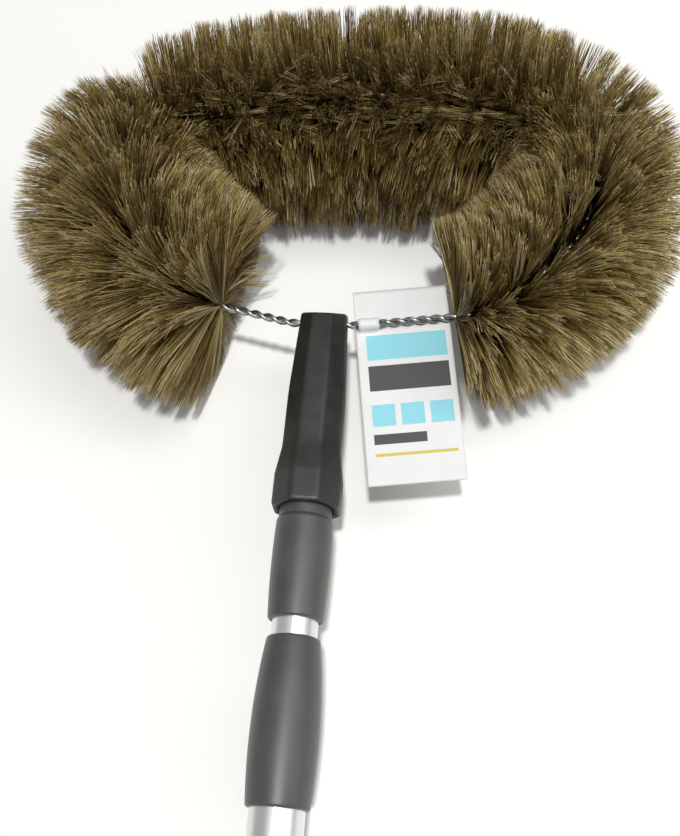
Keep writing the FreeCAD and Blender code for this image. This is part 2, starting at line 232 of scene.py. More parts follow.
def make_zinc(name, dark, pale, rough, patch):
    """Zinc on steel: spangles of two greys, with roughness between two values."""
    material, tree, shader = new_finish(name, Metallic=1.0)
    spangle = add_node(
        tree,
        "ShaderNodeTexNoise",
        Vector=object_coords(tree, patch),
        Scale=1.0,
        Detail=3.0,
    ).outputs["Fac"]
    colour = ramp(tree, spangle, [(0.3, dark), (0.7, pale)])
    bump = add_node(tree, "ShaderNodeBump", Strength=0.15, Distance=0.0001, Height=spangle)
    tree.links.new(colour, shader.inputs["Base Color"])
    tree.links.new(between(tree, spangle, *rough), shader.inputs["Roughness"])
    tree.links.new(bump.outputs["Normal"], shader.inputs["Normal"])
    return material


dress("lock_screw", make_zinc("zinc_screw", (0.5, 0.5, 0.46), (0.7, 0.7, 0.66), (0.25, 0.4), 0.001))

# Inner tube: the same drawn aluminium, 20 mm across. Only a short stretch of it shows between the
# grips while the pole is pushed in.
dress("inner_tube", aluminium)

# Grips: two soft grey barrels moulded over the tubes, with rounded lips at both ends. The lower one
# closes in above the outer tube's mouth, so that the inner tube slides through its lip.
pole_mark = np.array(joints["twist_lock"]["pos_m"])
pole_right = np.array([1.0, 0.0, 0.0])
pole_up = np.cross(pole_right, pole_way)
nearly_straight = 1.56


def corners_of(node):
    """All mesh corners of a CAD node, as an array of points."""
    mesh = nodes[node].data
    flat = np.empty(3 * len(mesh.vertices), np.float32)
    mesh.vertices.foreach_get("co", flat)
    return flat.reshape(-1, 3).astype(float)


def reach_of(node):
    """Lowest and highest distance of a node along the pole."""
    along = (corners_of(node) - pole_mark) @ pole_way
    return along.min(), along.max()


def on_pole(right, along, up):
    """Row-frame points from distances to the right of the pole's line, along it and above it."""
    parts = np.broadcast_arrays(right, along, up)
    ways = (pole_right, pole_way, pole_up)
    return pole_mark + sum(part[..., None] * way for part, way in zip(parts, ways))


def rounded(points, radii, steps=6):
    """Closed outline with each corner replaced by an arc of its own radius, tangent to both
    sides."""
    points = np.array(points)
    before, after = np.roll(points, 1, 0), np.roll(points, -1, 0)
    outline = []
    for corner, back, on, radius in zip(points, before, after, radii):
        back = (back - corner) / np.linalg.norm(back - corner)
        on = (on - corner) / np.linalg.norm(on - corner)
        half = math.acos(np.clip(back @ on, -1, 1)) / 2
        if radius == 0 or half > nearly_straight:
            outline.append(corner[None])
            continue
        middle = corner + (back + on) / np.linalg.norm(back + on) * radius / math.sin(half)
        start = corner + back * radius / math.tan(half) - middle
        end = corner + on * radius / math.tan(half) - middle
        share = np.linspace(0, 1, steps)[:, None]
        spread = math.pi - 2 * half
        turned = np.sin((1 - share) * spread) * start + np.sin(share * spread) * end
        outline.append(middle + turned / math.sin(spread))
    return np.concatenate(outline)


def grid_object(name, grid, close_rows, close_columns, smooth=True):
    """Mesh of quads over a grid of points, whose rows and columns may each close on themselves."""
    rows, columns = grid.shape[:2]
    index = np.arange(rows * columns).reshape(rows, columns)
    index = np.concatenate([index, index[:1]], 0) if close_rows else index
    index = np.concatenate([index, index[:, :1]], 1) if close_columns else index
    quads = np.stack([index[:-1, :-1], index[1:, :-1], index[1:, 1:], index[:-1, 1:]], -1)
    mesh = bpy.data.meshes.new(name)
    mesh.from_pydata(grid.reshape(-1, 3), [], quads.reshape(-1, 4))
    mesh.polygons.foreach_set("use_smooth", np.full(len(mesh.polygons), smooth))
    made = bpy.data.objects.new(name, mesh)
    bpy.context.scene.collection.objects.link(made)
    return made


def outward(made):
    """Turns every face of a closed mesh outwards, after its doubles are merged."""
    work = bmesh.new()
    work.from_mesh(made.data)
    bmesh.ops.remove_doubles(work, verts=work.verts, dist=1e-7)
    bmesh.ops.recalc_face_normals(work, faces=work.faces)
    work.to_mesh(made.data)
    work.free()
    return made


def spun(name, outline, sides=128):
    """Closed outline of (radius, distance along the pole), carried round the pole."""
    turn = np.linspace(0, 2 * math.pi, sides, endpoint=False)
    radius, along = outline[:, :1], outline[:, 1:]
    grid = on_pole(radius * np.cos(turn), along + 0 * turn, radius * np.sin(turn))
    return outward(grid_object(name, grid, True, True))


def finish_piece(piece, material, body, replaced):
    """Material, body and replaced CAD nodes of a new piece."""
    piece.data.materials.append(material)
    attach(piece, body)
    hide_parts(*replaced)
    return piece


def barrel_side(top, foot, top_r, belly_r, foot_r, belly, count=40):
    """Points of the arc through the radii at the foot, the belly and the top."""
    ends = np.array([[foot_r, foot], [belly_r, belly], [top_r, top]])
    lead = 2 * (ends[1:] - ends[:1])
    gain = (ends[1:] ** 2).sum(1) - (ends[0] ** 2).sum()
    centre = np.linalg.solve(lead, gain)
    along = np.linspace(foot, top, count)
    size = np.linalg.norm(ends[0] - centre)
    return np.stack([centre[0] + np.sqrt(size**2 - (along - centre[1]) ** 2), along], 1)


soft_grip = make_moulding(
    "soft_grip",
    dark=(0.046, 0.046, 0.046),
    pale=(0.06, 0.06, 0.061),
    rough=(0.42, 0.52),
    grain_size=0.0006,
    grain_depth=0.22,
    Specular_IOR_Level=0.8,
    Sheen_Weight=0.1,
    Sheen_Roughness=0.5,
)
lip_radius = 0.0012
outer_tube_r = 0.0115
inner_tube_r = 0.010
slide_gap = 0.0004
press_gap = 0.00005


def make_grip(name, node, body, radii, belly_below_top, bore, lip_bore, lip_length):
    """Barrel with rounded lips: the outer arc, then back down the bore, which is narrower for the
    length of the lip at the top."""
    foot, top = reach_of(node)
    side = barrel_side(top, foot, *radii, top - belly_below_top)
    inside = [[lip_bore, top], [lip_bore, top - lip_length], [bore, top - lip_length], [bore, foot]]
    points = np.concatenate([side, inside])
    rounding = np.zeros(len(points))
    rounding[[0, len(side) - 1]] = lip_radius
    grip = spun(name, rounded(points, rounding))
    return finish_piece(grip, soft_grip, body, [node])


make_grip(
    "grip_on_outer_tube",
    "lower_grip",
    "outer_pole",
    radii=(0.0115, 0.0145, 0.0132),
    belly_below_top=0.042,
    bore=outer_tube_r + press_gap,
    lip_bore=inner_tube_r + slide_gap,
    lip_length=0.0119,
)
make_grip(
    "grip_on_inner_tube",
    "upper_grip",
    "inner_pole",
    radii=(0.0126, 0.0130, 0.0121),
    belly_below_top=0.019,
    bore=inner_tube_r + press_gap,
    lip_bore=inner_tube_r + press_gap,
    lip_length=0.01,
)

# Socket: one black octagonal moulding that tapers up from a flared collar to a slanted top. Its
# corners are a little soft from the mould. Below, it is hollow for the pole tip's spigot and neck.
socket_foot = reach_of("socket")[0]
socket_top = socket_foot + 0.101
top_slant = math.tan(math.radians(27))
slant_depth = 0.012
face_count = 8
points_per_face = 16
corner_power = 34


def octagon_reach(turn):
    """Distance to a unit octagon's side in this direction. Summing the eight sides' pulls with a
    high power rounds the corners."""
    faces = np.arange(face_count) * 2 * math.pi / face_count
    pulls = np.maximum(np.cos(turn[:, None] - faces), 0) ** corner_power
    return pulls.sum(1) ** (-1 / corner_power)


def octagon_turns():
    """Directions round the octagon, closer together towards its corners."""
    share = (np.arange(points_per_face) + 0.5) / points_per_face * 2 - 1
    within = np.sin(share * math.pi / 2) * math.pi / face_count
    faces = np.arange(face_count) * 2 * math.pi / face_count
    return (faces[:, None] + within).ravel()


def octagon_shell(name, stations):
    """Sections of (distance along the pole, half width, roundness) carried along the pole, from an
    octagon at roundness 0 to a circle at 1. Near the top they lean back, lower in front."""
    turn = octagon_turns()
    along, half, roundness = (column[:, None] for column in np.array(stations).T)
    size = half * ((1 - roundness) * octagon_reach(turn) + roundness)
    near_top = np.clip(1 - (socket_top - along) / slant_depth, 0, 1) * (1 - roundness)
    slanted = along - top_slant * near_top * size * np.sin(turn)
    grid = on_pole(size * np.cos(turn), slanted, size * np.sin(turn))
    return outward(grid_object(name, grid, False, True))


def fillet(start, corner, end, steps=5):
    """Stations round a corner between two others: a curve pulled towards the corner."""
    share = np.linspace(0, 1, steps)[:, None]
    start, corner, end = (np.array(point) for point in (start, corner, end))
    return (1 - share) ** 2 * start + 2 * share * (1 - share) * corner + share**2 * end


collar_half = 0.0153
collar_top = socket_foot + 0.015
waist_half = 0.0132
waist = socket_top - 0.072
middle_half = 0.0131
middle = socket_top - 0.042
top_half = 0.011
bevel = 0.0012
neck_r = 0.0118
neck_top = socket_foot + 0.0032
spigot_r = 0.00915
spigot_end_r = 0.0084
chamber_foot = socket_foot + 0.0515
chamber_r = 0.0065
chamber_top = socket_top - 0.006


def socket_stations():
    """Outside from the top's middle down to the mouth, then up the inside to the wire chamber."""
    outside = np.concatenate(
        [
            [[socket_top, 0.0, 0.0], [socket_top, top_half - 2.2 * bevel, 0.0]],
            fillet(
                [socket_top, top_half - 1.8 * bevel, 0],
                [socket_top, top_half - bevel, 0],
                [socket_top - 0.5 * bevel, top_half - 0.4 * bevel, 0],
            ),
            fillet(
                [socket_top - 0.8 * bevel, top_half - 0.15 * bevel, 0],
                [socket_top - bevel, top_half, 0],
                [socket_top - 2 * bevel, top_half + 0.0001, 0],
            ),
            fillet(
                [middle + 0.008, middle_half - 0.00052, 0],
                [middle, middle_half, 0],
                [middle - 0.008, middle_half + 0.00003, 0],
            ),
            fillet(
                [waist + 0.004, waist_half - 0.00001, 0],
                [waist, waist_half, 0],
                [waist - 0.002, waist_half + 0.0003, 0],
            ),
            fillet(
                [collar_top + 0.001, collar_half - 0.00016, 0],
                [collar_top, collar_half, 0],
                [collar_top - 0.001, collar_half, 0],
            ),
            fillet(
                [socket_foot + 1.6 * bevel, collar_half, 0],
                [socket_foot + bevel, collar_half, 0],
                [socket_foot + 0.5 * bevel, collar_half - 0.25 * bevel, 0],
            ),
            fillet(
                [socket_foot + 0.2 * bevel, collar_half - 0.4 * bevel, 0],
                [socket_foot, collar_half - 0.5 * bevel, 0],
                [socket_foot, collar_half - 0.9 * bevel, 0],
            ),
        ]
    )
    inside = [
        [socket_foot, neck_r + slide_gap, 1],
        [neck_top, neck_r + slide_gap, 1],
        [neck_top, spigot_r + 0.0001, 1],
        [chamber_foot, spigot_end_r, 1],
        [chamber_foot + 0.004, chamber_r, 1],
        [chamber_top, chamber_r, 1],
        [chamber_top, 0, 1],
    ]
    return np.concatenate([outside, inside])


socket = octagon_shell("octagonal_socket", socket_stations())
finish_piece(socket, black_plastic, "head", ["socket"])
dress("wire_plug", black_plastic)

# Core wire: two galvanised strands twisted together, with the fibre trapped between them. Both ends
# come out bare and are held in the socket.
galvanised = make_zinc("galvanised_wire", (0.2, 0.2, 0.19), (0.5, 0.5, 0.48), (0.26, 0.45), 0.0016)
dress("wire_strand_a", galvanised)
dress("wire_strand_b", galvanised)

# Fibre: stiff brown bristles trapped by their middles in the twist, so that they leave the wire in
# a double spiral. They stand in locks, trimmed to nearly one length, and part a little on the side
# that faces up.
rng = np.random.default_rng(7)
wire_mark = np.array(joints["tag_swing"]["pos_m"])
wire_right = (wire_mark - pole_mark) @ pole_right
wire_along = (wire_mark - pole_mark) @ pole_way
right_half = {
    "bare": 0.0629,
    "rise": math.radians(8.2),
    "slope": math.radians(50),
    "diagonal": 0.0225,
    "side_radius": 0.060,
    "corner_radius": 0.040,
}
left_half = {
    "bare": 0.0512,
    "rise": math.radians(12.5),
    "slope": math.radians(45),
    "diagonal": 0.016,
    "side_radius": 0.058,
    "corner_radius": 0.046,
}
straight_end = 0.013
rise_radius = 0.025
first_radius = 0.060
corner_bend = math.radians(72)
line_step = 0.0005


def bare_runs(half):
    """(length, turn) of one bare end, from the socket's middle: straight out, then rising."""
    curve = rise_radius * half["rise"]
    return [(straight_end, 0), (curve, half["rise"]), (half["bare"] - straight_end - curve, 0)]


def flank_runs(half):
    """(length, turn) of one flank, from the fibre's end to the end of the top corner."""
    first = half["slope"] - half["rise"]
    side = math.pi / 2 - half["slope"]
    return [
        (first_radius * first, first),
        (half["diagonal"], 0),
        (half["side_radius"] * side, side),
        (half["corner_radius"] * corner_bend, corner_bend),
    ]


def follow(runs):
    """Distance, place and heading every half millimetre along runs, from the socket's middle: the
    heading is piecewise linear in the distance, and the place is its running sum."""
    lengths, turns = np.array(runs).T
    ends = np.concatenate([[0], np.cumsum(lengths)])
    distance = np.linspace(0, ends[-1], int(ends[-1] / line_step) + 1)
    heading = np.interp(distance, ends, np.concatenate([[0], np.cumsum(turns)]))
    middle = (heading[1:] + heading[:-1]) / 2
    step = np.diff(distance)
    right = np.concatenate([[0], np.cumsum(np.cos(middle) * step)])
    along = np.concatenate([[0], np.cumsum(np.sin(middle) * step)])
    return distance, right, along, heading


def crown_radii():
    """Radii of the crown's two arcs, which bring the right and left halves together level."""
    ends = [follow(bare_runs(half) + flank_runs(half)) for half in (right_half, left_half)]
    turn = math.pi / 2 - corner_bend
    both = (ends[0][1][-1] + ends[1][1][-1]) / math.sin(turn)
    uneven = (ends[1][2][-1] - ends[0][2][-1]) / (1 - math.cos(turn))
    return (both + uneven) / 2, (both - uneven) / 2


def loop_line():
    """The wire's line under the fibre: distance from the right-hand end, place and heading."""
    turn = math.pi / 2 - corner_bend
    crown = [(radius * turn, turn) for radius in crown_radii()]
    bare = bare_runs(right_half)
    runs = bare + flank_runs(right_half) + crown + flank_runs(left_half)[::-1]
    distance, right, along, heading = follow(runs)
    kept = distance >= right_half["bare"]
    return distance[kept] - right_half["bare"], right[kept], along[kept], heading[kept]


line_distance, line_right, line_along, line_heading = loop_line()
right_rise = right_half["rise"]
rise_start = straight_end + rise_radius * math.tan(right_rise / 2)
socket_middle_along = wire_along - math.tan(right_rise) * (wire_right - rise_start)
line_length = line_distance[-1]
fibre_reach = 0.052
spiral_pitch = 0.0128
lock_count = 2700
strands_per_lock = 6
bristles_per_strand = 5
stray_share = 0.125
laid_share = 0.09
stub_share = 0.14
lock_spread = {"spin": 0.3, "lean": 0.02, "bow": 0.1, "length": 0.02, "shade": 0.07}
strand_spread = {"place": 0.001, "spin": 0.07, "lean": 0.025, "bow": 0.05, "length": 0.022}
stray_spread = {"spin": 0.4, "lean": 0.28}
bristle_spread = {
    "place": 0.0004,
    "spin": 0.035,
    "lean": 0.025,
    "bow": 0.04,
    "length": 0.014,
    "shade": 0.09,
}
# (share of the wire's line, width, degrees) of each place where the parting opens
openings = [(0.14, 0.1, 4.5), (0.7, 0.05, 5)]
# (heading of the wire in degrees, strength) of each corner where the fibre fans out
fans = [(222, 0.3), (148, 0.1)]


def drift(seed, places, spacing):
    """Smooth noise between -1 and 1 along the wire, from random values at even spacing."""
    values = np.random.default_rng(seed).uniform(-1, 1, int(line_length / spacing) + 3)
    return np.interp(places / spacing, np.arange(len(values)), values)


def parting_at(heading):
    """Spin angle of the parting, which faces up, turned out a little at the lobes and in towards
    the open middle at the crown."""
    return np.radians(98 - 32 * np.cos(heading))


def part_fibre(spin, heading, place):
    """Spin angles moved apart on both sides of the parting. Angles far from it hardly move. It
    opens most on the right side and at the crown's left end, where the wire shows."""
    crown = np.clip(-np.cos(heading), 0, 1)
    parting = parting_at(heading)
    off = (spin - parting + math.pi) % (2 * math.pi) - math.pi
    share = place / line_length
    degrees = (2 + 2 * drift(3, place, 0.03)) * (1 - crown)
    for middle, width, most in openings:
        degrees = degrees + most * np.exp(-(((share - middle) / width) ** 2))
    gap = np.radians(degrees)
    return parting + off + np.sign(off) * gap * np.exp(-np.abs(off) / 0.5)


def fan(place, turned, strength):
    """Lean away from the point where the wire's heading reaches a value, fading within 25 mm."""
    off = place - np.interp(turned, line_heading, line_distance)
    return strength * np.sign(off) * np.exp(-np.abs(off) / 0.025)


def trimmed(place):
    """Length of the fibre along the wire, as a share of its mean reach: shorter at the crown and
    the right side, shortest in a notch at the upper left, longest at the lower left."""
    stops = [0, 0.08, 0.16, 0.22, 0.3, 0.36, 0.48, 0.71, 0.733, 0.76, 0.84, 0.95, 1]
    shares = [0.93, 0.98, 1.0, 0.93, 0.94, 0.98, 0.92, 0.92, 0.74, 1.0, 1.1, 1.11, 1.03]
    return np.interp(place / line_length, stops, shares)


def make_strands():
    """Place, spin, lean, bow, length and shade of every strand. Locks follow the two spirals that
    the twisted wires make, and lean together in tufts. Each strand adds a smaller spread of its own
    to its lock's values. One in eight strays further, and at the crown a few are laid along the
    parting, within a spread of their own."""
    lock_place = (np.arange(lock_count) + rng.uniform(0, 1, lock_count)) / lock_count * line_length
    spiral = rng.integers(0, 2, lock_count)
    lock_spin = 2 * math.pi * lock_place / spiral_pitch + math.pi * spiral
    lock_spin += rng.normal(0, lock_spread["spin"], lock_count)
    tuft = np.where(spiral, drift(5, lock_place, 0.0035), drift(6, lock_place, 0.0035))
    shared_lean = 0.05 * tuft + 0.06 * drift(7, lock_place, 0.03)
    lock_lean = shared_lean + rng.normal(0, lock_spread["lean"], lock_count)
    lock_bow = rng.normal(0, lock_spread["bow"], lock_count)
    lock_length = rng.normal(0.99, lock_spread["length"], lock_count)
    lock_shade = rng.normal(0, lock_spread["shade"], lock_count)

    lock = np.repeat(np.arange(lock_count), strands_per_lock)
    count = len(lock)
    stray = rng.uniform(0, 1, count) < stray_share
    spread = strand_spread
    spin_spread = np.where(stray, stray_spread["spin"], spread["spin"])
    lean_spread = np.where(stray, stray_spread["lean"], spread["lean"])
    place = lock_place[lock] + rng.normal(0, spread["place"], count)
    spin = lock_spin[lock] + rng.normal(0, spin_spread, count)
    lean = lock_lean[lock] + rng.normal(0, lean_spread, count)
    bow = lock_bow[lock] + rng.normal(0, spread["bow"], count)
    length = lock_length[lock] * rng.normal(1.0, spread["length"], count)
    shade = lock_shade[lock] + rng.beta(1.1, 2.2, count) + 0.06 * stray
    at_crown = np.abs(place / line_length - 0.5) < 0.22
    laid = at_crown & (rng.uniform(0, 1, count) < laid_share)
    laid_lean = rng.choice([-1, 1], count) * rng.uniform(0.6, 1.05, count)
    return {
        "place": place,
        "spin": spin,
        "lean": np.where(laid, laid_lean, np.clip(lean, -0.5, 0.5)),
        "bow": bow,
        "length": length,
        # Laid strands are painted paler: painted light over the shaded trough of the parting.
        "shade": shade + 0.1 * laid,
        "laid": laid,
        "off_parting": rng.normal(0, 0.35, count),
    }


def crown_growth(heading, spin):
    """Share by which bristles are longer on the crown's inner side, most of all those that slope
    down to the floor."""
    crown = np.clip(-np.cos(heading), 0, 1) ** 8
    inward = np.clip(-np.cos(spin), 0, 1) ** 4
    under = np.clip(-np.cos(spin - math.pi / 4), 0, 1) ** 8
    return crown * (0.2 * inward + 0.35 * under)


def spread_lean(lean, place, spin):
    """Lean along the wire, with outer bristles fanned out at the crown's two ends. At the ends of
    the fibre the leans even out, the inner bristles flare past the end and the lower ones draw
    back. The flare starts beyond the card's upper limit, to leave room for its swing."""
    outer = np.clip(np.cos(spin), 0, 1)
    for degrees, strength in fans:
        lean = lean + outer * fan(place, math.radians(degrees), strength)
    card_limit = math.radians(130)
    inner_upper = np.clip(-np.cos(spin), 0, 1) * np.clip(0.5 + np.sin(spin), 0, 1)
    inner_upper = inner_upper * np.clip((spin - card_limit) / 0.3, 0, 1)
    lower = np.clip(0.3 - np.sin(spin), 0, 1)
    end_fade = 0.02
    flare = np.exp((place - line_length) / end_fade) - np.exp(-place / end_fade)
    return lean * (1 - 0.95 * np.abs(flare)) + flare * (0.2 * inner_upper - 0.10 * lower)


ring_shares = np.array([0.0, 0.5, 0.955, 1.0])
ring_radii = np.array([0.00024, 0.00021, 0.00011])


def bristle_paths(place, heading, spin, lean, bow, length):
    """Points along each bristle at the ring shares. It leaves the wire at its spin angle, from
    outwards towards up, leans along the wire more towards its tip, and bows round the wire."""
    turned = spin[:, None] + bow[:, None] * (ring_shares - 0.5)
    tipped = lean[:, None] * (0.6 + 0.4 * ring_shares)
    reach = length[:, None] * ring_shares
    out = np.cos(tipped) * np.cos(turned) * reach
    up = np.cos(tipped) * np.sin(turned) * reach
    on = np.sin(tipped) * reach
    right = np.interp(place, line_distance, line_right)[:, None]
    along = np.interp(place, line_distance, line_along)[:, None]
    sine, cosine = np.sin(heading)[:, None], np.cos(heading)[:, None]
    return on_pole(
        right + sine * out + cosine * on,
        socket_middle_along + along - cosine * out + sine * on,
        up,
    )


def make_bristles():
    """Place along the wire, path and shade of every bristle. Each adds its own small spread to the
    values of its strand, and some are cut short. The shade holds painted light: paler on the lobes,
    darker at the crown."""
    strands = make_strands()
    strand = np.repeat(np.arange(len(strands["place"])), bristles_per_strand)
    own = {name: values[strand] for name, values in strands.items()}
    count = len(strand)
    spread = bristle_spread
    place = np.clip(own["place"] + rng.normal(0, spread["place"], count), 0, line_length)
    spin = own["spin"] + rng.normal(0, spread["spin"], count)
    lean = own["lean"] + rng.normal(0, spread["lean"], count)
    bow = own["bow"] + rng.normal(0, spread["bow"], count)
    length = own["length"] * rng.normal(1.0, spread["length"], count)
    stub = rng.uniform(0, 1, count) < stub_share
    length = np.minimum(length * np.where(stub, rng.uniform(0.6, 1, count), 1), 1.03)

    heading = np.interp(place, line_distance, line_heading)
    laid_spin = parting_at(heading) + own["off_parting"]
    spin = np.where(own["laid"], laid_spin, part_fibre(spin, heading, place))
    # Painted light: lobes paler and the crown darker, as light falls on them. Bristles that point
    # outwards are also paler than those that point inwards.
    tone = 0.075 + 0.12 * np.cos(heading) + 0.07 * np.cos(spin)
    shade = np.clip(own["shade"] + rng.normal(0, spread["shade"], count) + tone, 0.01, 0.99)
    length = length * fibre_reach * trimmed(place) * (1 + crown_growth(heading, spin))
    lean = spread_lean(lean, place, spin)
    return place, bristle_paths(place, heading, spin, lean, bow, length), shade


def bristle_object(name, paths, shade):
    """Three-sided tapered bristles, each a closed tube that ends in a short point. The UV map holds
    the share of the length and the bristle's shade."""
    count, rings = paths.shape[:2]
    way = paths[:, -1] - paths[:, 0]
    way /= np.linalg.norm(way, axis=1)[:, None]
    any_way = np.array([0.31, 0.22, 0.92])
    across = np.cross(way, any_way)
    across /= np.linalg.norm(across, axis=1)[:, None]
    other = np.cross(way, across)
    turn = np.arange(3) * 2 * math.pi / 3
    round_it = np.cos(turn)[:, None] * across[:, None] + np.sin(turn)[:, None] * other[:, None]
    sides = paths[:, :-1, None] + ring_radii[None, :, None, None] * round_it[:, None]
    points = np.concatenate([sides.reshape(count, -1, 3), paths[:, -1:]], 1)
    per = points.shape[1]

    ring = np.arange(rings - 2)[:, None] * 3
    here, following = np.arange(3), (np.arange(3) + 1) % 3
    lower = np.stack([ring + here, ring + following, ring + following + 3], -1)
    upper = np.stack([ring + here, ring + following + 3, ring + here + 3], -1)
    last = 3 * (rings - 2)
    cone = np.stack([last + here, last + following, np.full(3, per - 1)], -1)
    shape = np.concatenate([lower.reshape(-1, 3), upper.reshape(-1, 3), cone, [[2, 1, 0]]])
    corners = (shape[None] + per * np.arange(count)[:, None, None]).ravel()

    mesh = bpy.data.meshes.new(name)
    mesh.vertices.add(count * per)
    mesh.vertices.foreach_set("co", points.astype(np.float32).ravel())
    mesh.loops.add(len(corners))
    mesh.loops.foreach_set("vertex_index", corners.astype(np.int32))
    mesh.polygons.add(len(corners) // 3)
    mesh.polygons.foreach_set("loop_start", np.arange(0, len(corners), 3, dtype=np.int32))
    mesh.polygons.foreach_set("use_smooth", np.ones(len(corners) // 3, bool))
    mesh.update(calc_edges=True)
    share = np.append(np.repeat(ring_shares[:-1], 3), 1.0)
    held = np.stack(np.broadcast_arrays(share[None], shade[:, None]), -1).reshape(-1, 2)
    layer = mesh.uv_layers.new(name="length_and_shade")
    layer.data.foreach_set("uv", held[corners].astype(np.float32).ravel())
    made = bpy.data.objects.new(name, mesh)
    bpy.context.scene.collection.objects.link(made)
    return made


def make_bristle_finish():
    """Bristle: the shade in its UV map, from near black to straw, paler towards the tip. Near the
    wire it is paler too, as painted light against the shade in the fibre's depth. Patches a few
    millimetres across run from red-brown to olive."""
    material, tree, shader = new_finish("brown_bristle", Roughness=0.5, Specular_IOR_Level=0.22)
    held = add_node(tree, "ShaderNodeUVMap", {"uv_map": "length_and_shade"}).outputs["UV"]
    parts = add_node(tree, "ShaderNodeSeparateXYZ", Vector=held).outputs
    # Paler towards the tip; the lift at the root is painted light, against the shade near the wire.
    tip_paling_and_painted_root_light = ramp(
        tree,
        parts["X"],
        [(stop, (lift,) * 3) for stop, lift in ((0.0, 0.2), (0.4, 0.0), (0.7, 0.03), (1.0, 0.2))],
    )
    lifted = add_node(
        tree, "ShaderNodeMath", {"operation": "ADD"}, i0=tip_paling_and_painted_root_light, i1=parts["Y"]
    ).outputs["Value"]
    red_brown = ramp(
        tree,
        lifted,
        [
            (0.0, (0.062, 0.031, 0.012)),
            (0.3, (0.175, 0.10, 0.036)),
            (0.6, (0.38, 0.25, 0.10)),
            (1.0, (0.80, 0.64, 0.40)),
        ],
    )
    olive = ramp(
        tree,
        lifted,
        [
            (0.0, (0.050, 0.034, 0.006)),
            (0.3, (0.155, 0.115, 0.020)),
            (0.6, (0.36, 0.275, 0.062)),
            (1.0, (0.78, 0.67, 0.30)),
        ],
    )
    patch = add_node(
        tree, "ShaderNodeTexNoise", Vector=object_coords(tree, 0.005), Scale=1.0, Detail=1.0
    ).outputs["Fac"]
    hue = ramp(tree, patch, [(0.4, (0, 0, 0)), (0.6, (1, 1, 1))])
    tone = add_node(
        tree, "ShaderNodeMix", {"data_type": "RGBA"}, i0=hue, i6=red_brown, i7=olive
    ).outputs[2]
    tree.links.new(tone, shader.inputs["Base Color"])
    return material


bristle_finish = make_bristle_finish()
bristle_place, bristle_points, bristle_shade = make_bristles()
floor_clearance = 0.0006
bristle_points[..., 2] = np.maximum(bristle_points[..., 2], floor_clearance)
section_count = 10
bristle_section = (bristle_place / line_length * section_count).astype(int)
bristle_section = np.minimum(bristle_section, section_count - 1)
for section in range(section_count):
    chosen = bristle_section == section
    name = f"bristles_{section + 1}"
    bristles = bristle_object(name, bristle_points[chosen], bristle_shade[chosen])
    finish_piece(bristles, bristle_finish, "head", ["fibre"])

# Tag: a printed card, 45.5 mm wide, threaded on the right-hand wire. Two slits free a strap that
# arches tightly over the wire and holds the card level with the pole. Its lower end is a little
# curled.
tag_width = 0.0455
tag_above = 0.019
tag_below = 0.081
tag_thickness = 0.00055
strap_inset = 0.0015
strap_width = 0.010
arch_inner = 0.00241
arch_radius = arch_inner + 0.00035
card_level = -arch_radius
tag_slope = math.radians(3)
curl = 0.0012


def card_points(across, below, level):
    """Points of the card, hung square to the wire and turned down by its slope."""
    sine, cosine = math.sin(tag_slope), math.cos(tag_slope)
    along = -below * cosine - level * sine
    up = -below * sine + level * cosine
    turn, rise = math.sin(right_rise), math.cos(right_rise)
    return on_pole(
        wire_right + across * rise - along * turn,
        wire_along + across * turn + along * rise,
        up,
    )


def card_panel(low, high, arched):
    """Panel of the card between two edges, with its UV map. The strap's line leaves the card at
    both feet of a half circle round the wire."""
    across = np.linspace(low, high, max(int((high - low) / 0.0015), 2) + 1)
    turn = np.linspace(math.pi, 0, 25)
    upper = np.linspace(-tag_above, -arch_radius, 9)
    lower = np.linspace(arch_radius, tag_below, 60)
    middle = np.cos(turn) * arch_radius
    below = np.concatenate([upper, middle, lower])
    arch = np.sqrt(np.maximum(arch_radius**2 - middle**2, 0)) - card_level
    lift = arch if arched else 0 * middle
    level = np.concatenate([0 * upper, lift, 0 * lower]) + card_level
    level = level + curl * np.clip(below / tag_below, 0, 1) ** 2
    grid = card_points(across[None], below[:, None], level[:, None])
    flat = (below + tag_above) / (tag_above + tag_below)
    placed = np.stack(np.broadcast_arrays(across[None] / tag_width, 1 - flat[:, None]), -1)
    return grid, placed


def make_card():
    """The margin, the strap and the rest of the card as one mesh, joined where they are not
    slit."""
    edges = [0, strap_inset, strap_inset + strap_width, tag_width]
    work = bmesh.new()
    work.loops.layers.uv.new("card")
    for number, (low, high) in enumerate(zip(edges[:-1], edges[1:])):
        grid, placed = card_panel(low, high, number == 1)
        panel = grid_object("card_panel", grid, False, False)
        mesh = panel.data
        index = np.empty(len(mesh.loops), np.int32)
        mesh.loops.foreach_get("vertex_index", index)
        held = mesh.uv_layers.new(name="card").data
        held.foreach_set("uv", placed.reshape(-1, 2)[index].ravel())
        work.from_mesh(mesh)
        bpy.data.objects.remove(panel)
        bpy.data.meshes.remove(mesh)
    bmesh.ops.remove_doubles(work, verts=work.verts, dist=1e-6)
    bmesh.ops.recalc_face_normals(work, faces=work.faces)
    mesh = bpy.data.meshes.new("hang_card")
    work.to_mesh(mesh)
    work.free()
    card = bpy.data.objects.new("hang_card", mesh)
    bpy.context.scene.collection.objects.link(card)
    wall = card.modifiers.new("thickness", "SOLIDIFY")
    wall.thickness = tag_thickness
    wall.offset = 0
    return card


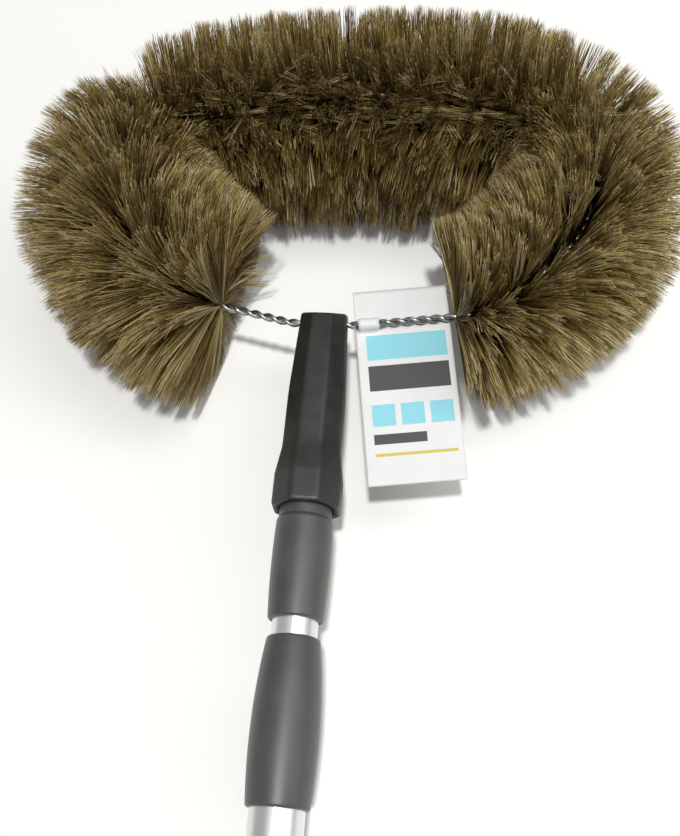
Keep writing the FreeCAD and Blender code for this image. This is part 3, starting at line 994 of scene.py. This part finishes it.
def make_card_finish():
    """White card with a plain print: a pale blue band, a grey bar, three pale blue squares, a
    thinner grey bar and a straw line, each a window of the card's own map."""
    material, tree, shader = new_finish("printed_card", Specular_IOR_Level=0.4)
    held = add_node(tree, "ShaderNodeUVMap", {"uv_map": "card"}).outputs["UV"]
    parts = add_node(tree, "ShaderNodeSeparateXYZ", Vector=held).outputs

    def within(part, low, high):
        """1 where a value lies between two others, and 0 elsewhere."""
        above = add_node(tree, "ShaderNodeMath", {"operation": "GREATER_THAN"}, i0=part, i1=low)
        under = add_node(tree, "ShaderNodeMath", {"operation": "LESS_THAN"}, i0=part, i1=high)
        both = add_node(
            tree,
            "ShaderNodeMath",
            {"operation": "MULTIPLY"},
            i0=above.outputs["Value"],
            i1=under.outputs["Value"],
        )
        return both.outputs["Value"]

    def printed(under, window, ink):
        """Colour with an ink laid over it in one window: left, right, low and high on the map."""
        across = within(parts["X"], *window[:2])
        down = within(parts["Y"], *window[2:])
        mask = add_node(tree, "ShaderNodeMath", {"operation": "MULTIPLY"}, i0=across, i1=down)
        mixed = add_node(
            tree,
            "ShaderNodeMix",
            {"data_type": "RGBA"},
            i0=mask.outputs["Value"],
            i6=under,
            i7=(*ink, 1),
        )
        return mixed.outputs[2]

    grain = add_node(
        tree,
        "ShaderNodeGroup",
        {"node_tree": grain_group},
        Size=0.0007,
        Depth=0.12,
    )
    pale_blue = (0.30, 0.72, 0.82)
    dark_grey = (0.075, 0.07, 0.072)
    mottle = grain.outputs["Mottle"]
    colour = ramp(tree, mottle, [(0.3, (0.84, 0.84, 0.83)), (0.7, (0.88, 0.88, 0.87))])
    colour = printed(colour, (0.1, 0.94, 0.63, 0.76), pale_blue)
    colour = printed(colour, (0.1, 0.94, 0.47, 0.6), dark_grey)
    for left in (0.1, 0.4, 0.7):
        colour = printed(colour, (left, left + 0.24, 0.29, 0.4), pale_blue)
    colour = printed(colour, (0.1, 0.64, 0.2, 0.25), dark_grey)
    straw = (0.72, 0.58, 0.12)
    colour = printed(colour, (0.1, 0.94, 0.14, 0.155), straw)
    tree.links.new(colour, shader.inputs["Base Color"])
    tree.links.new(between(tree, mottle, 0.4, 0.55), shader.inputs["Roughness"])
    tree.links.new(grain.outputs["Normal"], shader.inputs["Normal"])
    return material


finish_piece(make_card(), make_card_finish(), "hang_tag", ["tag"])

# Floor and light: a plain pale sheet under the brush, which shows white where it is lit. A small
# lamp stands high above the pole, with a broad soft panel to its right, a dim window low on the
# right and a pale surrounding.
floor_size = 30.0
floor_level = -0.0002
sheet_tone = (0.8, 0.79, 0.75, 1)
seen_tone = (1.0, 0.995, 0.96, 1)
seen_glow = 0.07
corners = np.array([[-1, -1], [1, -1], [-1, 1], [1, 1]]) * floor_size / 2
floor_grid = np.concatenate([corners, np.full((4, 1), floor_level)], 1).reshape(2, 2, 3)
floor = grid_object("pale_floor", floor_grid[:, ::-1], False, False, smooth=False)
floor_finish, floor_tree, floor_shader = new_finish("pale_sheet", Roughness=0.8)


def seen_rays(tree):
    """1 for rays that show a surface: straight, in a reflection or through glass. 0 for the
    rest."""
    rays = add_node(tree, "ShaderNodeLightPath").outputs
    shown = rays["Is Camera Ray"]
    for kind in ("Is Glossy Ray", "Is Transmission Ray"):
        shown = add_node(
            tree, "ShaderNodeMath", {"operation": "MAXIMUM"}, i0=shown, i1=rays[kind]
        ).outputs["Value"]
    return shown


floor_tone = add_node(
    floor_tree,
    "ShaderNodeMix",
    {"data_type": "RGBA"},
    i0=seen_rays(floor_tree),
    i6=sheet_tone,
    i7=seen_tone,
).outputs[2]
floor_glow = between(floor_tree, seen_rays(floor_tree), 0.0, seen_glow)
floor_shader.inputs["Emission Color"].default_value = (1, 1, 1, 1)
floor_tree.links.new(floor_glow, floor_shader.inputs["Emission Strength"])
floor_tree.links.new(floor_tone, floor_shader.inputs["Base Color"])
floor.data.materials.append(floor_finish)

butt = reach_of("outer_tube")[0]
head_middle = on_pole(np.array(0.01), np.array(butt + 0.86), np.array(0.0))


def add_lamp(name, lean_right, lean_back, distance, wide, deep, power):
    """Soft lamp above the head, leaning from the upright by two slopes: to the right and back
    towards the pole's butt. Its wide side lies across the pole."""
    way = pole_up + lean_right * pole_right - lean_back * pole_way
    way = way / np.linalg.norm(way)
    side = pole_right - pole_right @ way * way
    side = side / np.linalg.norm(side)
    data = bpy.data.lights.new(name, "AREA")
    data.shape = "RECTANGLE"
    data.size = wide
    data.size_y = deep
    data.energy = power
    lamp = bpy.data.objects.new(name, data)
    turned = Matrix([side, np.cross(way, side), way]).transposed().to_quaternion()
    lamp.matrix_world = Matrix.LocRotScale(Vector(head_middle + way * distance), turned, None)
    bpy.context.scene.collection.objects.link(lamp)


add_lamp("key", lean_right=0.05, lean_back=0.22, distance=3.2, wide=0.18, deep=0.18, power=66)
add_lamp("panel", lean_right=0.4, lean_back=-0.15, distance=1.6, wide=1.4, deep=0.6, power=7)
add_lamp("window", lean_right=1.6, lean_back=0.4, distance=1.5, wide=0.6, deep=0.8, power=2.5)
world = bpy.data.worlds.new("pale_room")
bpy.context.scene.world = world
world.use_nodes = True
room_light = world.node_tree.nodes["Background"]
room_light.inputs["Color"].default_value = (1, 1, 1, 1)
room_strength = between(world.node_tree, seen_rays(world.node_tree), 0.11, 0.45)
world.node_tree.links.new(room_strength, room_light.inputs["Strength"])

# Camera: above the pole and well below the head, tipped towards it, as the photograph was taken.
# The focal length is in pixels of a frame 836 pixels high.
eye = on_pole(np.array(0.0555), np.array(butt + 0.5569), np.array(0.4709))
frame_long_side = 836
focal_pixels = 1121.2
camera_data = bpy.data.cameras.new("camera")
camera_data.sensor_width = 36.0
camera_data.lens = focal_pixels * camera_data.sensor_width / frame_long_side
camera = bpy.data.objects.new("camera", camera_data)
turned = Matrix([pole_right, pole_way, pole_up]).transposed()
for degrees, axis in ((4.53, "Z"), (3.3, "Y"), (24.37, "X")):
    turned = turned @ Matrix.Rotation(math.radians(degrees), 3, axis)
camera.matrix_world = Matrix.LocRotScale(Vector(eye), turned.to_quaternion(), None)
camera_data.clip_start = 0.01
bpy.context.scene.collection.objects.link(camera)
bpy.context.scene.camera = camera
bpy.context.scene.view_settings.view_transform = "Standard"
